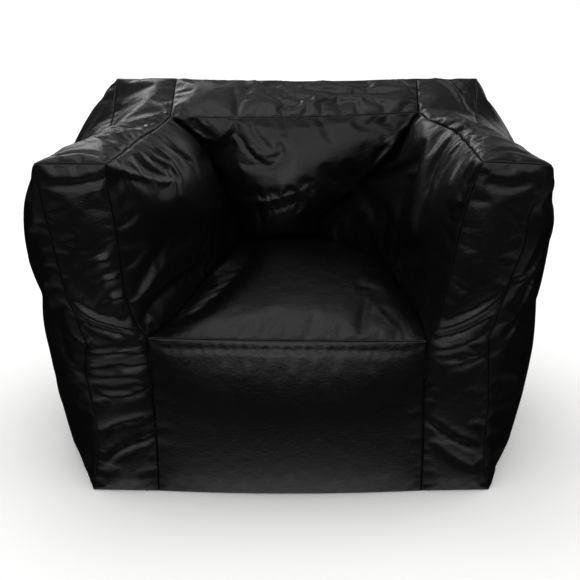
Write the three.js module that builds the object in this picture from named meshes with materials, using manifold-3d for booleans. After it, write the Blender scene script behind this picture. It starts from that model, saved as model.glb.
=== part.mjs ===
// Bean bag armchair: a sewn leathercloth cover with two arms, a back, a low front and a sunk seat,
// a zipped liner inside it, and the bead filling inside the liner.
// Units are millimetres. +X is to the right as seen from the front, +Y to the back, +Z up.
// The origin is on the floor, under the middle of the outline.

import * as THREE from 'three';
import { mergeVertices } from 'three/addons/utils/BufferGeometryUtils.js';
import Module from 'manifold-3d';

const wasm = await Module();
wasm.setup();

// ---- Driving dimensions -------------------------------------------------------------------------

const COVER_THICKNESS = 1.6; // leathercloth
const LINER_THICKNESS = 0.6; // woven liner
const LINER_INSET = 6; // cover's outer face to the liner's outer face
const FILL_INSET = 10; // cover's outer face to the filling
const SEAM_PULL = 0.2; // each panel stops this far from the seam line

const ZIP_HEIGHT = 80; // cover zip above the floor
const REAR_DEPTH = 568; // the rear's flat foot, behind the front edge of the base
const SLOT_HALF_LENGTH = 218;
const SLOT_HALF_WIDTH = 6;
const SLOT_REACH = 20; // how far the slot's cutter goes through the cloth, both ways

// Grid steps between the seams.
const CENTRE_STEPS = 8;
const ARM_STEPS = 3;
const LOWER_STEPS = 4;
const UPPER_STEPS = 5;
const DEPTH_STEPS = 7;
const RIM_STEPS = 2;
const REAR_LOWER_STEPS = 1;
const REAR_UPPER_STEPS = LOWER_STEPS + UPPER_STEPS - REAR_LOWER_STEPS;

// Corners of the right half, measured from the front edge of the base.
const CORNER = {
  baseFrontInner: [238, 0, 0],
  baseFrontOuter: [353, 6, 0],
  baseRearInner: [238, REAR_DEPTH, 0],
  baseRearOuter: [348, 556, 0],
  pinchInner: [239, 2, 295],
  pinchOuter: [346, 4, 292],
  armFrontInner: [306, 0, 617],
  armFrontOuter: [422, 2, 617],
  kinkInner: [240, 428, 589],
  backInner: [244, 551, 629],
  backOuter: [364, 549, 629],
  seatRear: [120, 402, 330],
  zipInner: [238, REAR_DEPTH, ZIP_HEIGHT],
  zipOuter: [362, 560, ZIP_HEIGHT],
};

// ---- Seams --------------------------------------------------------------------------------------

const point = ([x, y, z]) => new THREE.Vector3(x, y, z);
const mirror = (p) => new THREE.Vector3(-p.x, p.y, p.z);
const reverse = (seam) => [...seam].reverse();

// A seam from one corner to another through the given points, in equal steps.
function seam(from, via, to, steps) {
  const stops = [from, ...via, to].map(point);
  return new THREE.CatmullRomCurve3(stops, false, 'centripetal').getSpacedPoints(steps);
}

// A seam that crosses the middle, from the left corner to the same corner on the right.
// The bow is its middle's offset from straight, in y and z.
function crossSeam(corner, bow = [0, 0]) {
  const middle = [0, corner[1], corner[2]];
  const half = seam(middle, [], corner, CENTRE_STEPS / 2);
  return [...reverse(half).map(mirror), ...half.slice(1)].map((p) => {
    const share = 1 - (p.x / corner[0]) ** 2;
    return new THREE.Vector3(p.x, p.y + bow[0] * share, p.z + bow[1] * share);
  });
}

const join = (...seams) => seams.reduce((all, next) => [...all, ...next.slice(1)]);

const C = CORNER;
const frontInner = join(
  seam(C.baseFrontInner, [[236, -5, 150]], C.pinchInner, LOWER_STEPS),
  seam(C.pinchInner, [[262, -4, 420], [287, -4, 540]], C.armFrontInner, UPPER_STEPS),
);
const frontOuter = join(
  seam(C.baseFrontOuter, [[350, 2, 150]], C.pinchOuter, LOWER_STEPS),
  seam(C.pinchOuter, [[372, 2, 400], [396, 0, 530]], C.armFrontOuter, UPPER_STEPS),
);
const frontInnerLower = frontInner.slice(0, LOWER_STEPS + 1);
const frontInnerUpper = frontInner.slice(LOWER_STEPS);
const armBase = seam(C.baseFrontInner, [], C.baseFrontOuter, ARM_STEPS);
const armTopFront = seam(C.armFrontInner, [[364, -6, 622]], C.armFrontOuter, ARM_STEPS);
const armTopInner = seam(C.armFrontInner, [[276, 150, 606], [250, 320, 594]], C.kinkInner, DEPTH_STEPS);
const rimSide = seam(C.kinkInner, [], C.backInner, RIM_STEPS);
const armTopOuter = seam(
  C.armFrontOuter, [[404, 190, 608], [366, 410, 594]], C.backOuter, DEPTH_STEPS + RIM_STEPS,
);
const backArm = seam(C.backInner, [], C.backOuter, ARM_STEPS);
const baseSide = seam(C.baseFrontOuter, [[394, 280, 0]], C.baseRearOuter, DEPTH_STEPS + RIM_STEPS);
const baseRearArm = seam(C.baseRearInner, [], C.baseRearOuter, ARM_STEPS);
const zipArm = seam(C.zipInner, [], C.zipOuter, ARM_STEPS);
const rearSideLower = seam(C.baseRearOuter, [], C.zipOuter, REAR_LOWER_STEPS);
const rearSideUpper = seam(C.zipOuter, [[396, 566, 330]], C.backOuter, REAR_UPPER_STEPS);
const seatSide = seam(C.pinchInner, [[224, 90, 313], [186, 230, 324]], C.seatRear, DEPTH_STEPS);
const innerBackSide = seam(C.seatRear, [[146, 410, 440], [192, 416, 520]], C.kinkInner, UPPER_STEPS);

const frontBase = crossSeam(C.baseFrontInner);
const seatFront = crossSeam(C.pinchInner, [-8, 2]);
const seatRear = crossSeam(C.seatRear, [-6, 8]);
const rimFront = crossSeam(C.kinkInner, [-4, -4]);
const backTop = crossSeam(C.backInner, [4, -6]);
const zipMiddle = crossSeam(C.zipInner);
const baseRearMiddle = crossSeam(C.baseRearInner);

// A full-width seam: left arm part, middle, right arm part, from left to right.
const fullWidth = (middle, arm) => join(reverse(arm).map(mirror), middle, arm);

// ---- Panels as bulged patches between four seams ------------------------------------------------

const FULLNESS = 0.75; // below 1 the bulge is flatter in the middle and steeper at its seams

// bottom and top run left to right, left and right run upwards, all as seen from outside.
// The bulge is fullest at the share of the height given by peak.
function patch({ bottom, top, left, right, bulge = [0, 0, 0], peak = 0.5 }) {
  const push = point(bulge);
  const columns = bottom.length - 1;
  const rows = left.length - 1;
  const blend = (a, b, t) => a.clone().lerp(b, t);
  return left.map((leftPoint, j) => bottom.map((bottomPoint, i) => {
    const u = i / columns;
    const v = j / rows;
    const corners = blend(blend(bottom[0], bottom[columns], u), blend(top[0], top[columns], u), v);
    const w = v ** (Math.log(0.5) / Math.log(peak));
    const swell = (16 * u * (1 - u) * w * (1 - w)) ** FULLNESS;
    return blend(leftPoint, right[j], u)
      .add(blend(bottomPoint, top[i], v))
      .sub(corners)
      .addScaledVector(push, swell);
  }));
}

const mirrorPatch = (grid) => grid.map((row) => reverse(row).map(mirror));

const armFront = patch({
  bottom: armBase, top: armTopFront, left: frontInner, right: frontOuter, bulge: [0, -16, 0],
});
const armTop = patch({
  bottom: armTopFront, top: backArm, left: join(armTopInner, rimSide), right: armTopOuter, bulge: [0, 0, 8],
});
const side = patch({
  bottom: baseSide, top: armTopOuter, left: frontOuter, right: join(rearSideLower, rearSideUpper),
  bulge: [92, 0, 0],
});
const innerArm = patch({
  bottom: reverse(seatSide), top: reverse(armTopInner), left: innerBackSide, right: frontInnerUpper,
  bulge: [-40, 0, 12], peak: 0.62,
});

const grids = {
  base_panel: patch({
    bottom: fullWidth(baseRearMiddle, baseRearArm), top: fullWidth(frontBase, armBase),
    left: reverse(baseSide).map(mirror), right: reverse(baseSide),
  }),
  front_panel: patch({
    bottom: frontBase, top: seatFront, left: frontInnerLower.map(mirror), right: frontInnerLower,
    bulge: [0, -24, 0],
  }),
  seat_panel: patch({
    bottom: seatFront, top: seatRear, left: seatSide.map(mirror), right: seatSide, bulge: [0, 0, 18],
  }),
  inner_back_panel: patch({
    bottom: seatRear, top: rimFront, left: innerBackSide.map(mirror), right: innerBackSide,
    bulge: [0, -60, 0], peak: 0.3,
  }),
  back_top_strip: patch({
    bottom: rimFront, top: backTop, left: rimSide.map(mirror), right: rimSide, bulge: [0, -2, 6],
  }),
  rear_upper_panel: patch({
    bottom: reverse(fullWidth(zipMiddle, zipArm)), top: reverse(fullWidth(backTop, backArm)),
    left: rearSideUpper, right: rearSideUpper.map(mirror), bulge: [0, 34, 0],
  }),
  rear_lower_panel: patch({
    bottom: reverse(fullWidth(baseRearMiddle, baseRearArm)), top: reverse(fullWidth(zipMiddle, zipArm)),
    left: rearSideLower, right: rearSideLower.map(mirror),
  }),
  arm_front_right: armFront,
  arm_front_left: mirrorPatch(armFront),
  arm_top_right: armTop,
  arm_top_left: mirrorPatch(armTop),
  side_panel_right: side,
  side_panel_left: mirrorPatch(side),
  inner_arm_right: innerArm,
  inner_arm_left: mirrorPatch(innerArm),
};

// ---- The whole skin, and its insets -------------------------------------------------------------

const skinPoints = [];
const skinTriangles = [];
const indexOf = new Map();

function skinIndex(p) {
  const key = [p.x, p.y, p.z].map((value) => (Math.round(value * 1000) / 1000 || 0).toFixed(3)).join();
  if (!indexOf.has(key)) {
    indexOf.set(key, skinPoints.length);
    skinPoints.push(p.clone());
  }
  return indexOf.get(key);
}

for (const grid of Object.values(grids)) {
  for (let j = 0; j + 1 < grid.length; j += 1) {
    for (let i = 0; i + 1 < grid[j].length; i += 1) {
      const [a, b, c, d] = [grid[j][i], grid[j][i + 1], grid[j + 1][i + 1], grid[j + 1][i]].map(skinIndex);
      skinTriangles.push([a, b, c], [a, c, d]);
    }
  }
}

// At each point, the step that moves every face around it outwards by one unit.
function mitres() {
  const STEADY = 0.03; // keeps the step short where the faces are nearly level with each other
  const sums = skinPoints.map(() => ({ matrix: new Array(9).fill(0), vector: new THREE.Vector3() }));
  for (const triangle of skinTriangles) {
    const [a, b, c] = triangle.map((index) => skinPoints[index]);
    const normal = b.clone().sub(a).cross(c.clone().sub(a)).normalize();
    const n = normal.toArray();
    for (const index of triangle) {
      sums[index].vector.add(normal);
      for (let k = 0; k < 9; k += 1) sums[index].matrix[k] += n[Math.floor(k / 3)] * n[k % 3];
    }
  }
  return sums.map(({ matrix, vector }) => {
    const direction = vector.clone().normalize();
    const d = direction.toArray();
    const weight = STEADY * vector.length();
    const steadied = matrix.map((value, k) => value + (k % 4 === 0 ? weight : 0));
    const target = vector.clone().addScaledVector(direction, weight);
    const inverse = new THREE.Matrix3().fromArray(steadied).invert();
    const step = target.applyMatrix3(inverse);
    return step.dot(point(d)) > 0 ? step : direction;
  });
}

const skinMitres = mitres();
const insetPoint = (index, inset) => skinPoints[index].clone().addScaledVector(skinMitres[index], -inset);

// The outline's middle, front to back, is moved to the origin.
const outline = new THREE.Box3().setFromPoints(skinPoints);
const MIDDLE_DEPTH = (outline.min.y + outline.max.y) / 2;

// ---- Meshes -------------------------------------------------------------------------------------

function geometryFrom(points, triangles) {
  const geometry = new THREE.BufferGeometry();
  const positions = points.flatMap((p) => p.toArray());
  geometry.setAttribute('position', new THREE.Float32BufferAttribute(positions, 3));
  geometry.setIndex(triangles.flat());
  return geometry;
}

function wholeSkin(inset) {
  return geometryFrom(skinPoints.map((_, index) => insetPoint(index, inset)), skinTriangles);
}

function solidFrom(geometry) {
  const bare = geometry.clone();
  bare.deleteAttribute('normal');
  bare.deleteAttribute('uv');
  const merged = mergeVertices(bare);
  return new wasm.Manifold(new wasm.Mesh({
    numProp: 3,
    vertProperties: new Float32Array(merged.attributes.position.array),
    triVerts: new Uint32Array(merged.index.array),
  }));
}

function geometryOf(solid) {
  const { vertProperties, triVerts } = solid.getMesh();
  const geometry = new THREE.BufferGeometry();
  geometry.setAttribute('position', new THREE.BufferAttribute(vertProperties, 3));
  geometry.setIndex(new THREE.BufferAttribute(triVerts, 1));
  return geometry;
}

// Rows of points pulled back from the patch's four edges, so that sewn neighbours don't touch.
function pulled(rows) {
  const lastRow = rows.length - 1;
  const lastColumn = rows[0].length - 1;
  const pull = (from, towards) => towards.clone().sub(from).setLength(SEAM_PULL);
  return rows.map((row, j) => row.map((p, i) => {
    const moved = p.clone();
    if (i === 0) moved.add(pull(p, row[1]));
    if (i === lastColumn) moved.add(pull(p, row[i - 1]));
    if (j === 0) moved.add(pull(p, rows[1][i]));
    if (j === lastRow) moved.add(pull(p, rows[j - 1][i]));
    return moved;
  }));
}

// Orders any two points of a seam, whichever panel they are seen from.
const rank = (p) => 3 * p.z + 2 * p.y + p.x;

// A closed sheet between two grids of the same size, the first one facing out.
function sheetBetween(outer, inner) {
  const columns = outer[0].length;
  const top = outer.length - 1;
  const right = columns - 1;
  const points = [...outer.flat(), ...inner.flat()];
  const back = outer.flat().length;
  const triangles = [];
  const at = (i, j) => j * columns + i;
  for (let j = 0; j < top; j += 1) {
    for (let i = 0; i < right; i += 1) {
      const [a, b, c, d] = [at(i, j), at(i + 1, j), at(i + 1, j + 1), at(i, j + 1)];
      triangles.push([a, b, c], [a, c, d], [a + back, c + back, b + back], [a + back, d + back, c + back]);
    }
  }
  // The edge's wall from one outer point to the next. Sewn neighbours split it along the same diagonal.
  const wall = (from, to) => {
    const [a, b, c, d] = [from, from + back, to + back, to];
    if (rank(points[from]) < rank(points[to])) triangles.push([a, b, c], [a, c, d]);
    else triangles.push([a, b, d], [b, c, d]);
  };
  for (let i = 0; i < right; i += 1) {
    wall(at(i, 0), at(i + 1, 0));
    wall(at(i + 1, top), at(i, top));
  }
  for (let j = 0; j < top; j += 1) {
    wall(at(0, j + 1), at(0, j));
    wall(at(right, j), at(right, j + 1));
  }
  return geometryFrom(points, triangles);
}

function panelGeometry(grid) {
  const inner = grid.map((row) => row.map((p) => insetPoint(skinIndex(p), COVER_THICKNESS)));
  return sheetBetween(pulled(grid), pulled(inner));
}

function boxGeometry([x0, y0, z0], [x1, y1, z1]) {
  const geometry = new THREE.BoxGeometry(x1 - x0, y1 - y0, z1 - z0);
  return geometry.translate((x0 + x1) / 2, (y0 + y1) / 2, (z0 + z1) / 2);
}

const extrude = (shape, depth, curveSegments = 1) => (
  new THREE.ExtrudeGeometry(shape, { depth, bevelEnabled: false, curveSegments })
);

const unite = (geometries) => geometries.map(solidFrom).reduce((all, next) => all.add(next));

// ---- Materials ----------------------------------------------------------------------------------

function material(color, roughness, metalness = 0) {
  return new THREE.MeshStandardMaterial({ color, roughness, metalness });
}

const leathercloth = material(0x141416, 0.32);
const linerCloth = material(0xb9b7b0, 0.85);
const beads = material(0xf1f0ec, 0.9);
const tapeCloth = material(0x151517, 0.8);
const coilNylon = material(0x1b1b1e, 0.45);
const zinc = material(0x56575b, 0.35, 0.9);
const labelCloth = material(0xe6e4df, 0.8);

const chair = new THREE.Group();
chair.position.y = -MIDDLE_DEPTH;

function add(name, geometry, finish, parent = chair) {
  const mesh = new THREE.Mesh(geometry, finish);
  mesh.name = name;
  parent.add(mesh);
}

// ---- Cover panels -------------------------------------------------------------------------------

// The rear panels stop short of the zip along its opening.
const zipSlot = solidFrom(boxGeometry(
  [-SLOT_HALF_LENGTH, REAR_DEPTH - SLOT_REACH, ZIP_HEIGHT - SLOT_HALF_WIDTH],
  [SLOT_HALF_LENGTH, REAR_DEPTH + SLOT_REACH, ZIP_HEIGHT + SLOT_HALF_WIDTH],
));

for (const [name, grid] of Object.entries(grids)) {
  const geometry = panelGeometry(grid);
  const besideZip = name.startsWith('rear_');
  add(name, besideZip ? geometryOf(solidFrom(geometry).subtract(zipSlot)) : geometry, leathercloth);
}

// ---- Liner and filling --------------------------------------------------------------------------

const LINER_ZIP_DEPTH = 400; // the liner's zip, behind the front edge of the base

function linerGeometry() {
  const slot = boxGeometry(
    [-SLOT_HALF_LENGTH, LINER_ZIP_DEPTH - SLOT_HALF_WIDTH, 0],
    [SLOT_HALF_LENGTH, LINER_ZIP_DEPTH + SLOT_HALF_WIDTH, LINER_INSET + 2 * LINER_THICKNESS],
  );
  const outside = solidFrom(wholeSkin(LINER_INSET));
  const inside = solidFrom(wholeSkin(LINER_INSET + LINER_THICKNESS));
  return geometryOf(outside.subtract(inside).subtract(solidFrom(slot)));
}

add('liner_bag', linerGeometry(), linerCloth);
add('bead_filling', wholeSkin(FILL_INSET), beads);

// ---- Zips ---------------------------------------------------------------------------------------

// In a zip's own frame x runs along it, y across it, and z out of the cloth from the tapes' outer face.
const ZIP = {
  halfLength: 214,
  tapeHalfLength: 230,
  tapeWidth: 12,
  tapeThickness: 0.6,
  clearance: 0.3, // between pieces that lie on each other
  middleGap: 0.5, // half the gap between the coils, where the slider's neck runs
  coilWidth: 2.5,
  coilHeight: 1.8,
  sliderHalfLength: 6,
  sliderHalfWidth: 4.6,
  plate: 1.2,
  stopLength: 3,
};
const ZIP_EDGE = ZIP.halfLength - ZIP.stopLength; // the slider runs between the stops
const SLIDER_REST = ZIP_EDGE - ZIP.sliderHalfLength - 1;
const COIL_TOP = ZIP.clearance + ZIP.coilHeight;
const PLATE_BOTTOM = COIL_TOP + 0.4;
const PLATE_TOP = PLATE_BOTTOM + ZIP.plate;
const TAB_PIVOT = { x: SLIDER_REST + 1, z: PLATE_TOP + 1.4 };

function tape(sign) {
  const [near, far] = [ZIP.middleGap, ZIP.middleGap + ZIP.tapeWidth];
  const [low, high] = sign > 0 ? [near, far] : [-far, -near];
  return boxGeometry([-ZIP.tapeHalfLength, low, -ZIP.tapeThickness], [ZIP.tapeHalfLength, high, 0]);
}

// One coil: a bar with a rounded section.
function coil(sign) {
  const section = new THREE.Shape();
  const [radiusAcross, radiusUp] = [ZIP.coilWidth / 2, ZIP.coilHeight / 2];
  const centre = sign * (ZIP.middleGap + radiusAcross);
  section.absellipse(centre, ZIP.clearance + radiusUp, radiusAcross, radiusUp, 0, 2 * Math.PI);
  const bar = extrude(section, 2 * ZIP_EDGE, 5);
  // The extrusion runs along z: turn its section's x and y into the zip's y and z.
  const turn = new THREE.Matrix4().set(0, 0, 1, -ZIP_EDGE, 1, 0, 0, 0, 0, 1, 0, 0, 0, 0, 0, 1);
  return bar.applyMatrix4(turn);
}

// A metal staple over one coil's end, or over both.
function stop(xStart, yLow, yHigh) {
  const gap = ZIP.clearance;
  return boxGeometry([xStart + gap, yLow, gap], [xStart + ZIP.stopLength, yHigh, COIL_TOP]);
}

// Rounded plate of the slider, narrower at its neck end.
function sliderPlate(zLow, zHigh, halfWidth) {
  const half = ZIP.sliderHalfLength;
  const edge = [[-1, 0.75], [-0.6, 1], [0.5, 1], [1, 0.55]];
  const oneSide = edge.map(([x, y]) => new THREE.Vector2(x * half, -y * halfWidth));
  const otherSide = reverse(oneSide).map((p) => new THREE.Vector2(p.x, -p.y));
  return extrude(new THREE.Shape([...oneSide, ...otherSide]), zHigh - zLow).translate(0, 0, zLow);
}

function slider(hasLug) {
  const half = ZIP.sliderHalfLength;
  const wide = ZIP.sliderHalfWidth;
  const flangeInner = ZIP.middleGap + ZIP.coilWidth + 0.4;
  const innerPlateTop = -ZIP.tapeThickness - 0.4;
  const flange = (low, high) => (
    boxGeometry([-0.6 * half, low, 0.4], [0.5 * half, high, PLATE_BOTTOM + 0.2])
  );
  const pieces = [
    sliderPlate(PLATE_BOTTOM, PLATE_TOP, wide),
    sliderPlate(innerPlateTop - 1.1, innerPlateTop, wide - 0.4),
    flange(flangeInner, wide),
    flange(-wide, -flangeInner),
    boxGeometry([0.6 * half, -0.2, innerPlateTop - 0.2], [0.95 * half, 0.2, PLATE_BOTTOM + 0.2]),
  ];
  if (hasLug) {
    const lug = { halfLength: 3, halfWidth: 1, height: 3.4, wall: 0.8 };
    const roof = PLATE_TOP + lug.height;
    const [back, front] = [1 - lug.halfLength, 1 + lug.halfLength];
    const bar = (x0, x1, low, high) => boxGeometry([x0, -lug.halfWidth, low], [x1, lug.halfWidth, high]);
    pieces.push(
      bar(back, front, roof - lug.wall, roof),
      bar(back, back + lug.wall, PLATE_TOP - 0.2, roof - 0.2),
      bar(front - lug.wall, front, PLATE_TOP - 0.2, roof - 0.2),
    );
  }
  return geometryOf(unite(pieces)).translate(SLIDER_REST, 0, 0);
}

// The pull tab: a plate with a window for the lug, and a round-ended grip, lying along the zip.
function pullTab() {
  const tab = {
    length: 30,
    halfWidth: 3.4,
    hingeHalfWidth: 2.4,
    taper: 9, // length over which it widens from the hinge
    thickness: 1.2,
    bar: 1.2,
    windowHalfWidth: 1.6,
    windowLength: 4.6,
    gripHole: 1.3, // radius
  };
  const gripCentre = -tab.length + tab.halfWidth;
  const shape = new THREE.Shape();
  shape.moveTo(tab.bar / 2, -tab.hingeHalfWidth);
  shape.lineTo(tab.bar / 2, tab.hingeHalfWidth);
  shape.lineTo(-tab.taper, tab.halfWidth);
  shape.lineTo(gripCentre, tab.halfWidth);
  shape.absarc(gripCentre, 0, tab.halfWidth, Math.PI / 2, 1.5 * Math.PI, false);
  shape.lineTo(-tab.taper, -tab.halfWidth);
  shape.closePath();
  const window = new THREE.Path();
  const [near, far] = [-tab.bar / 2, -tab.bar / 2 - tab.windowLength];
  window.moveTo(near, -tab.windowHalfWidth);
  window.lineTo(far, -tab.windowHalfWidth);
  window.lineTo(far, tab.windowHalfWidth);
  window.lineTo(near, tab.windowHalfWidth);
  window.closePath();
  const gripHole = new THREE.Path();
  gripHole.absarc(gripCentre, 0, tab.gripHole, 0, 2 * Math.PI, true);
  shape.holes.push(window, gripHole);
  const plate = extrude(shape, tab.thickness, 6);
  return plate.translate(TAB_PIVOT.x, 0, TAB_PIVOT.z - tab.thickness / 2);
}

function addZip(prefix, frame, hasTab) {
  chair.add(frame);
  const beyond = ZIP.middleGap + ZIP.coilWidth;
  const bottomStop = stop(-ZIP_EDGE - ZIP.stopLength - ZIP.clearance, -beyond, beyond);
  add(`${prefix}_tape_upper`, tape(1), tapeCloth, frame);
  add(`${prefix}_tape_lower`, tape(-1), tapeCloth, frame);
  add(`${prefix}_coil_upper`, coil(1), coilNylon, frame);
  add(`${prefix}_coil_lower`, coil(-1), coilNylon, frame);
  add(`${prefix}_top_stop_upper`, stop(ZIP_EDGE, ZIP.middleGap, beyond), zinc, frame);
  add(`${prefix}_top_stop_lower`, stop(ZIP_EDGE, -beyond, -ZIP.middleGap), zinc, frame);
  add(`${prefix}_bottom_stop`, bottomStop, zinc, frame);
  add(`${prefix}_slider`, slider(hasTab), zinc, frame);
  if (hasTab) add(`${prefix}_pull_tab`, pullTab(), zinc, frame);
}

// Cover zip: along X, facing back. Its closed end is at -X.
const coverZip = new THREE.Group();
coverZip.rotation.set(Math.PI / 2, Math.PI, 0);
coverZip.position.set(0, REAR_DEPTH - COVER_THICKNESS - ZIP.clearance, ZIP_HEIGHT);
addZip('cover_zip', coverZip, true);

// Liner zip: along X, facing down. A safety slider with no pull tab.
const linerZip = new THREE.Group();
linerZip.rotation.set(Math.PI, 0, 0);
linerZip.position.set(0, LINER_ZIP_DEPTH, LINER_INSET + LINER_THICKNESS + ZIP.clearance);
addZip('liner_zip', linerZip, false);

// ---- Care label ---------------------------------------------------------------------------------

// A blank tag sewn into the rear seam beside the zip, hanging on the lower rear panel.
function careLabel() {
  const label = { outerShare: 0.15, innerShare: 0.5, drop: 46, lift: 0.5, thickness: 0.35 };
  const [from, to] = [zipArm[ARM_STEPS], zipArm[0]];
  const [fromBase, toBase] = [baseRearArm[ARM_STEPS], baseRearArm[0]];
  const away = new THREE.Vector3(0, 1, 0);
  const rows = [ZIP_HEIGHT - label.drop, ZIP_HEIGHT - label.drop / 2, ZIP_HEIGHT - 2].map((height) => (
    [label.outerShare, (label.outerShare + label.innerShare) / 2, label.innerShare].map((share) => {
      const upper = from.clone().lerp(to, share);
      const lower = fromBase.clone().lerp(toBase, share);
      return lower.lerp(upper, height / ZIP_HEIGHT);
    })
  ));
  const lifted = (lift) => rows.map((row) => row.map((p) => p.clone().addScaledVector(away, lift)));
  return sheetBetween(lifted(label.lift + label.thickness), lifted(label.lift));
}

add('care_label', careLabel(), labelCloth);

export default chair;
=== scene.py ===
"""Bean bag armchair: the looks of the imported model. Metres, +Z up, the chair faces -Y."""

import math

import bmesh
import bpy
import numpy as np
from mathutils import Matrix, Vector, noise
from mathutils.kdtree import KDTree


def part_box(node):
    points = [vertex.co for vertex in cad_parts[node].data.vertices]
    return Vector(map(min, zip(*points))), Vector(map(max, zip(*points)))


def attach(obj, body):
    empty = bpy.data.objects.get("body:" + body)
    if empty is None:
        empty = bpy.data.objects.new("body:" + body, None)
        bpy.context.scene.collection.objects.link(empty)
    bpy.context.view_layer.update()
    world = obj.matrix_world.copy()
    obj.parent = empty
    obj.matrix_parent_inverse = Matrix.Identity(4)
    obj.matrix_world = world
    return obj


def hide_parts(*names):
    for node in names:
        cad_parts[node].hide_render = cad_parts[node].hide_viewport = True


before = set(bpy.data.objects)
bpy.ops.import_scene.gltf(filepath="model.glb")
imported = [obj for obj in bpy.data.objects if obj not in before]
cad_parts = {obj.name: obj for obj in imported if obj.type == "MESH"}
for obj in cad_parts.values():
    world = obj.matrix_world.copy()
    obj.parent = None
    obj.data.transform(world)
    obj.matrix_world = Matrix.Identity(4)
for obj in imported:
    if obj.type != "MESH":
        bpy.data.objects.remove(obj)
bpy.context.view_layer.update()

# ---- Grid steps of the cover, shared by the panels that meet at a seam ----

CENTRE, ARM, LOWER, UPPER, DEPTH, RIM, REAR_LOWER = 64, 16, 40, 44, 56, 16, 8
REAR_UPPER = LOWER + UPPER - REAR_LOWER

# ---- Corners of the cover, from the frame ----


def frame_corners():
    """The corners where seams meet, on the +X half."""
    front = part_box("front_panel")[1]
    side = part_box("side_panel_right")
    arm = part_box("arm_front_right")[1]
    inner_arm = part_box("inner_arm_right")
    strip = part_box("back_top_strip")
    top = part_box("arm_top_right")[1]
    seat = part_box("seat_panel")[1]
    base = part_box("base_panel")
    zip_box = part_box("cover_zip_tape_upper")
    face = base[0].y
    zip_y = base[1].y
    zip_z = zip_box[0].z
    return {
        "base_front_inner": (front.x - 0.002, face, 0),
        "base_front_outer": (side[0].x + 0.008, face + 0.004, 0),
        "base_rear_inner": (front.x - 0.002, zip_y, 0),
        "base_rear_outer": (side[0].x + 0.003, zip_y - 0.012, 0),
        "pinch_inner": (front.x, face, front.z),
        "pinch_outer": (side[0].x, face + 0.002, front.z - 0.004),
        "arm_front_inner": (inner_arm[1].x, face, inner_arm[1].z),
        "arm_front_outer": (arm.x, face + 0.002, inner_arm[1].z),
        "kink_inner": (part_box("arm_top_right")[0].x, strip[0].y + 0.003, strip[0].z + 0.005),
        "back_inner": (strip[1].x, top.y, top.z),
        "back_outer": (strip[1].x + 0.120, top.y - 0.002, top.z),
        "seat_rear": (inner_arm[0].x, seat.y - 0.003, seat.z - 0.020),
        "zip_inner": (front.x - 0.002, zip_y, zip_z),
        "zip_outer": (side[0].x + 0.017, zip_y - 0.008, zip_z),
    }


CORNERS = frame_corners()
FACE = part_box("base_panel")[0].y  # the front edge of the base
# The slack cover doesn't stand quite symmetrically: how far each side's corners are from the frame's,
# outwards, back and up, in mm.
LEANS = {
    1: {
        "base_front_outer": (8, 0, 0), "pinch_inner": (-4, 0, 2), "pinch_outer": (-2, 0, 8),
        "arm_front_inner": (7, 0, 4), "arm_front_outer": (6, 0, -2),
        "back_outer": (13, 0, 0), "back_inner": (12, 0, 0), "kink_inner": (9, 4, 2),
        "seat_rear": (-65, 8, 10),
    },
    -1: {
        "base_front_outer": (4, 0, 0), "pinch_inner": (6, 0, 8), "pinch_outer": (7, 0, 0),
        "arm_front_inner": (-7, 0, 0), "arm_front_outer": (-3, 0, 0),
        "back_outer": (-15, 0, 0), "back_inner": (-14, 0, 0), "kink_inner": (-12, -40, 4),
        "seat_rear": (-22, 0, 10),
    },
}


def corner(name, side):
    """A corner on the +X side (1) or the -X side (-1)."""
    lean = LEANS[side].get(name, (0, 0, 0))
    x, y, z = (place + off / 1000 for place, off in zip(CORNERS[name], lean))
    return np.array([side * x, y, z])


# ---- Seams ----


def curve(stops, steps):
    """A smooth line through the stops, in equal steps."""
    stops = np.asarray(stops, float)
    if len(stops) == 2:
        share = np.linspace(0, 1, steps + 1)[:, None]
        return stops[0] * (1 - share) + stops[1] * share
    knots = np.concatenate([[0], np.cumsum(np.sqrt(np.linalg.norm(np.diff(stops, axis=0), axis=1)))])
    padded = np.vstack([2 * stops[0] - stops[1], stops, 2 * stops[-1] - stops[-2]])
    times = np.concatenate([[-knots[1]], knots, [2 * knots[-1] - knots[-2]]])
    fine = []
    for k in range(1, len(padded) - 2):
        t = np.linspace(times[k], times[k + 1], 60, endpoint=False)[:, None]
        t0, t1, t2, t3 = times[k - 1:k + 3]
        p0, p1, p2, p3 = padded[k - 1:k + 3]
        a1 = (t1 - t) / (t1 - t0) * p0 + (t - t0) / (t1 - t0) * p1
        a2 = (t2 - t) / (t2 - t1) * p1 + (t - t1) / (t2 - t1) * p2
        a3 = (t3 - t) / (t3 - t2) * p2 + (t - t2) / (t3 - t2) * p3
        b1 = (t2 - t) / (t2 - t0) * a1 + (t - t0) / (t2 - t0) * a2
        b2 = (t3 - t) / (t3 - t1) * a2 + (t - t1) / (t3 - t1) * a3
        fine.append((t2 - t) / (t2 - t1) * b1 + (t - t1) / (t2 - t1) * b2)
    fine = np.vstack([*fine, stops[-1]])
    along = np.concatenate([[0], np.cumsum(np.linalg.norm(np.diff(fine, axis=0), axis=1))])
    wanted = np.linspace(0, along[-1], steps + 1)
    return np.stack([np.interp(wanted, along, fine[:, axis]) for axis in range(3)], axis=1)


def join(*seams):
    return np.vstack([seams[0], *(s[1:] for s in seams[1:])])


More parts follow.
